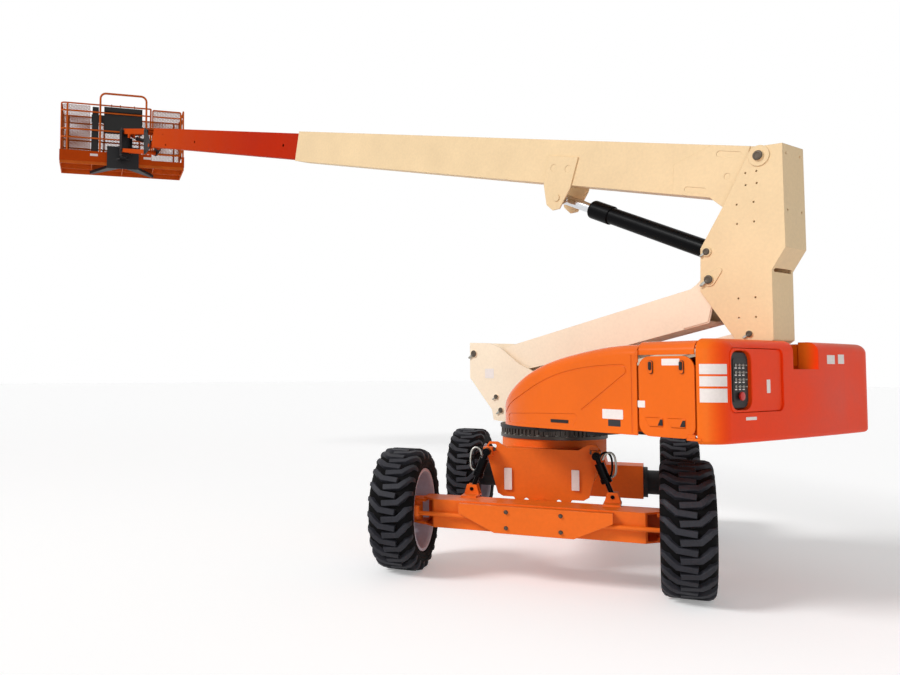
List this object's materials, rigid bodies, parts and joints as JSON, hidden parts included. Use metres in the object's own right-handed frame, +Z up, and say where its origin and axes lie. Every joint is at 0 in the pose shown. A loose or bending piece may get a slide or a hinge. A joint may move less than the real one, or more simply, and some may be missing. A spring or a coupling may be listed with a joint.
{
  "type": "articulating boom lift",
  "caption": "Self-propelled articulating work platform: four-wheel chassis, rotating hooded turntable, folding lower boom, telescopic upper boom, jib and railed basket.",
  "frame": {"origin": "on the ground, below the centre of the swing bearing", "axes": "+Z up; the booms work in the XZ plane, work platform toward -X, counterweight toward +X; the chassis heads 32.5 degrees from -Y toward +X"},
  "size_m": [14.0162, 4.1376, 7.12],
  "materials": {
    "boom_cream": "semi-gloss",
    "chassis_orange": "semi-gloss",
    "fly_orange": "semi-gloss",
    "tail_orange": "semi-gloss",
    "hood_orange": "gloss",
    "frame_black": "semi-gloss",
    "bearing_steel": "oiled",
    "cylinder_black": "semi-gloss",
    "rod_chrome": "polished",
    "rim_grey": "semi-gloss",
    "tyre_black": "matte",
    "deck_bronze": "matte",
    "mesh_bronze": "matte",
    "box_black": "matte",
    "battery_grey": "matte"
  },
  "bodies": {
    "chassis": {"chassis_frame": "chassis_orange", "axle_pivot_pin": "bearing_steel", "steer_axle": "chassis_orange", "axle_guard": "chassis_orange", "drive_axle": "chassis_orange", "slew_ring": "bearing_steel", "lockout_cylinder_left": "cylinder_black", "lockout_cylinder_right": "cylinder_black", "drive_motor_left": "frame_black", "drive_motor_right": "frame_black"},
    "knuckle_left": {"steer_knuckle_left": "chassis_orange"},
    "knuckle_right": {"steer_knuckle_right": "chassis_orange"},
    "tie_rod": {"tie_rod": "chassis_orange"},
    "wheel_steer_left": {"rim_steer_left": "rim_grey", "tyre_steer_left": "tyre_black"},
    "wheel_steer_right": {"rim_steer_right": "rim_grey", "tyre_steer_right": "tyre_black"},
    "wheel_drive_left": {"rim_drive_left": "rim_grey", "tyre_drive_left": "tyre_black"},
    "wheel_drive_right": {"rim_drive_right": "rim_grey", "tyre_drive_right": "tyre_black"},
    "turntable": {"turntable_frame": "frame_black", "boom_frame": "boom_cream", "battery_pack_left": "battery_grey", "battery_pack_right": "battery_grey", "counterweight": "tail_orange", "ground_controls": "box_black", "side_cover_left": "hood_orange", "side_cover_right": "hood_orange"},
    "nose_hood_left": {"nose_hood_left": "hood_orange"},
    "nose_hood_right": {"nose_hood_right": "hood_orange"},
    "side_door_left": {"side_door_left": "hood_orange"},
    "side_door_right": {"side_door_right": "hood_orange"},
    "lower_boom": {"lower_boom": "boom_cream"},
    "timing_link": {"timing_link": "boom_cream"},
    "lower_lift_barrel": {"lower_lift_barrel": "cylinder_black"},
    "lower_lift_rod": {"lower_lift_rod": "rod_chrome"},
    "upright": {"upright": "boom_cream"},
    "base_boom": {"base_boom": "boom_cream"},
    "upper_lift_barrel": {"upper_lift_barrel": "cylinder_black"},
    "upper_lift_rod": {"upper_lift_rod": "rod_chrome"},
    "fly_boom": {"fly_boom": "fly_orange"},
    "jib_base": {"jib_base": "frame_black"},
    "jib_upper_arm": {"jib_upper_arm": "fly_orange"},
    "jib_lower_arm": {"jib_lower_arm": "fly_orange"},
    "jib_lift_barrel": {"jib_lift_barrel": "cylinder_black"},
    "jib_lift_rod": {"jib_lift_rod": "rod_chrome"},
    "platform_support": {"platform_support": "frame_black"},
    "platform": {"platform_bracket": "frame_black", "platform_floor": "deck_bronze", "toe_board": "fly_orange", "platform_rail_rear": "deck_bronze", "platform_rail_left": "deck_bronze", "platform_rail_front": "deck_bronze", "platform_rail_right": "deck_bronze", "platform_mesh": "mesh_bronze", "console_guard": "deck_bronze", "platform_console": "box_black"},
    "platform_gate": {"platform_gate": "deck_bronze"}
  },
  "joints": [
    {"name": "steer_left", "type": "hinge", "parent": "chassis", "child": "knuckle_left", "pos_m": [1.37001, -0.41961, 0.48], "axis": [0, 0, 1], "range_deg": [-30, 30]},
    {"name": "steer_right", "type": "hinge", "parent": "chassis", "child": "knuckle_right", "pos_m": [-0.1987, -1.41898, 0.48], "axis": [0, 0, 1], "range_deg": [-30.02, 30.02]},
    {"name": "tie_rod_slide", "type": "slide", "parent": "chassis", "child": "tie_rod", "axis": [0.8434, 0.5373, 0], "range_m": [-0.08951, 0.08951]},
    {"name": "wheel_steer_left_spin", "type": "hinge", "parent": "knuckle_left", "child": "wheel_steer_left", "pos_m": [1.45435, -0.36588, 0.48], "axis": [0.8434, 0.5373, 0], "continuous": true},
    {"name": "wheel_drive_left_spin", "type": "hinge", "parent": "chassis", "child": "wheel_drive_left", "pos_m": [0.13259, 1.70887, 0.48], "axis": [0.8434, 0.5373, 0], "continuous": true},
    {"name": "wheel_steer_right_spin", "type": "hinge", "parent": "knuckle_right", "child": "wheel_steer_right", "pos_m": [-0.28304, -1.47271, 0.48], "axis": [0.8434, 0.5373, 0], "continuous": true},
    {"name": "wheel_drive_right_spin", "type": "hinge", "parent": "chassis", "child": "wheel_drive_right", "pos_m": [-1.60479, 0.60203, 0.48], "axis": [0.8434, 0.5373, 0], "continuous": true},
    {"name": "turntable_swing", "type": "hinge", "parent": "chassis", "child": "turntable", "pos_m": [0, 0, 1.05], "axis": [0, 0, 1], "continuous": true},
    {"name": "nose_hood_left_hinge", "type": "hinge", "parent": "turntable", "child": "nose_hood_left", "pos_m": [1.578, 1.106, 1.45], "axis": [0, 0, -1], "range_deg": [0, 70]},
    {"name": "nose_hood_right_hinge", "type": "hinge", "parent": "turntable", "child": "nose_hood_right", "pos_m": [1.578, -1.106, 1.45], "axis": [0, 0, 1], "range_deg": [0, 70]},
    {"name": "side_door_left_hinge", "type": "hinge", "parent": "turntable", "child": "side_door_left", "pos_m": [1.775, 1.106, 1.168], "axis": [-1, 0, 0], "range_deg": [0, 90]},
    {"name": "side_door_right_hinge", "type": "hinge", "parent": "turntable", "child": "side_door_right", "pos_m": [1.775, -1.106, 1.168], "axis": [1, 0, 0], "range_deg": [0, 90]},
    {"name": "lower_boom_lift", "type": "hinge", "parent": "turntable", "child": "lower_boom", "pos_m": [-0.79, 0, 1.748], "axis": [0, -1, 0], "range_deg": [-15.14, 47.86]},
    {"name": "timing_link_swing", "type": "hinge", "parent": "turntable", "child": "timing_link", "pos_m": [-0.51, 0, 1.346], "axis": [0, -1, 0], "range_deg": [-15.16, 47.88]},
    {"name": "upright_level", "type": "hinge", "parent": "lower_boom", "child": "upright", "pos_m": [1.53, 0, 2.247], "axis": [0, -1, 0], "range_deg": [-47.88, 15.16]},
    {"name": "lower_lift_swing", "type": "hinge", "parent": "turntable", "child": "lower_lift_barrel", "pos_m": [-0.454, 0, 1.224], "axis": [0, -1, 0], "range_deg": [-14.74, 46.55]},
    {"name": "lower_lift_stroke", "type": "slide", "parent": "lower_lift_barrel", "child": "lower_lift_rod", "axis": [0.9361, 0, 0.3516], "range_m": [-0.15664, 0.49409]},
    {"name": "upper_boom_lift", "type": "hinge", "parent": "upright", "child": "base_boom", "pos_m": [1.903, 0, 3.073], "axis": [0, 1, 0], "range_deg": [-12.8, 55.2]},
    {"name": "upper_lift_swing", "type": "hinge", "parent": "upright", "child": "upper_lift_barrel", "pos_m": [1.516, 0, 2.452], "axis": [0, 1, 0], "range_deg": [-11.7, 50.4]},
    {"name": "upper_lift_stroke", "type": "slide", "parent": "upper_lift_barrel", "child": "upper_lift_rod", "axis": [-0.9047, 0, 0.4261], "range_m": [-0.15306, 0.65842]},
    {"name": "fly_extend", "type": "slide", "parent": "base_boom", "child": "fly_boom", "axis": [-0.9668, 0, 0.2554], "range_m": [-4.45, 0]},
    {"name": "jib_base_level", "type": "hinge", "parent": "fly_boom", "child": "jib_base", "pos_m": [-8.89771, 0, 5.64741], "axis": [0, 1, 0], "range_deg": [-55.22, 12.82]},
    {"name": "jib_lift", "type": "hinge", "parent": "jib_base", "child": "jib_upper_arm", "pos_m": [-9.087, 0, 5.96], "axis": [0, 1, 0], "range_deg": [-74, 51]},
    {"name": "jib_lower_arm_swing", "type": "hinge", "parent": "jib_base", "child": "jib_lower_arm", "pos_m": [-9.087, 0, 5.58], "axis": [0, 1, 0], "range_deg": [-74.02, 51.02]},
    {"name": "jib_cylinder_swing", "type": "hinge", "parent": "jib_base", "child": "jib_lift_barrel", "pos_m": [-9.087, 0, 5.76], "axis": [0, 1, 0], "range_deg": [-72.23, 49.79]},
    {"name": "jib_cylinder_stroke", "type": "slide", "parent": "jib_lift_barrel", "child": "jib_lift_rod", "axis": [-0.945, 0, 0.3272], "range_m": [-0.21593, 0.14897]},
    {"name": "platform_level", "type": "hinge", "parent": "jib_upper_arm", "child": "platform_support", "pos_m": [-10.29987, 0, 6.2624], "axis": [0, 1, 0], "range_deg": [-51.02, 74.02]},
    {"name": "platform_turn", "type": "hinge", "parent": "platform_support", "child": "platform", "pos_m": [-10.45, 0, 5.91], "axis": [0, 0, 1], "range_deg": [-70.7, 109.3]},
    {"name": "platform_gate_hinge", "type": "hinge", "parent": "platform", "child": "platform_gate", "pos_m": [-10.2884, 1.17248, 6.3], "axis": [0, 0, -1], "range_deg": [0, 90]}
  ],
  "couplings": [
    {"joint": "steer_right", "follows": "steer_left", "ratio": 1},
    {"joint": "tie_rod_slide", "follows": "steer_left", "m_per_rad": 0.17},
    {"joint": "timing_link_swing", "follows": "lower_boom_lift", "ratio": 1},
    {"joint": "upright_level", "follows": "lower_boom_lift", "ratio": -1},
    {"joint": "lower_lift_swing", "follows": "lower_boom_lift", "ratio": 0.9721},
    {"joint": "lower_lift_stroke", "follows": "lower_boom_lift", "m_per_rad": 0.5909},
    {"joint": "upper_lift_swing", "follows": "upper_boom_lift", "ratio": 0.9126},
    {"joint": "upper_lift_stroke", "follows": "upper_boom_lift", "m_per_rad": 0.6829},
    {"joint": "jib_base_level", "follows": "upper_boom_lift", "ratio": -1},
    {"joint": "jib_lower_arm_swing", "follows": "jib_lift", "ratio": 1},
    {"joint": "jib_cylinder_swing", "follows": "jib_lift", "ratio": 0.9758},
    {"joint": "jib_cylinder_stroke", "follows": "jib_lift", "m_per_rad": 0.1668},
    {"joint": "platform_level", "follows": "jib_lift", "ratio": -1}
  ]
}
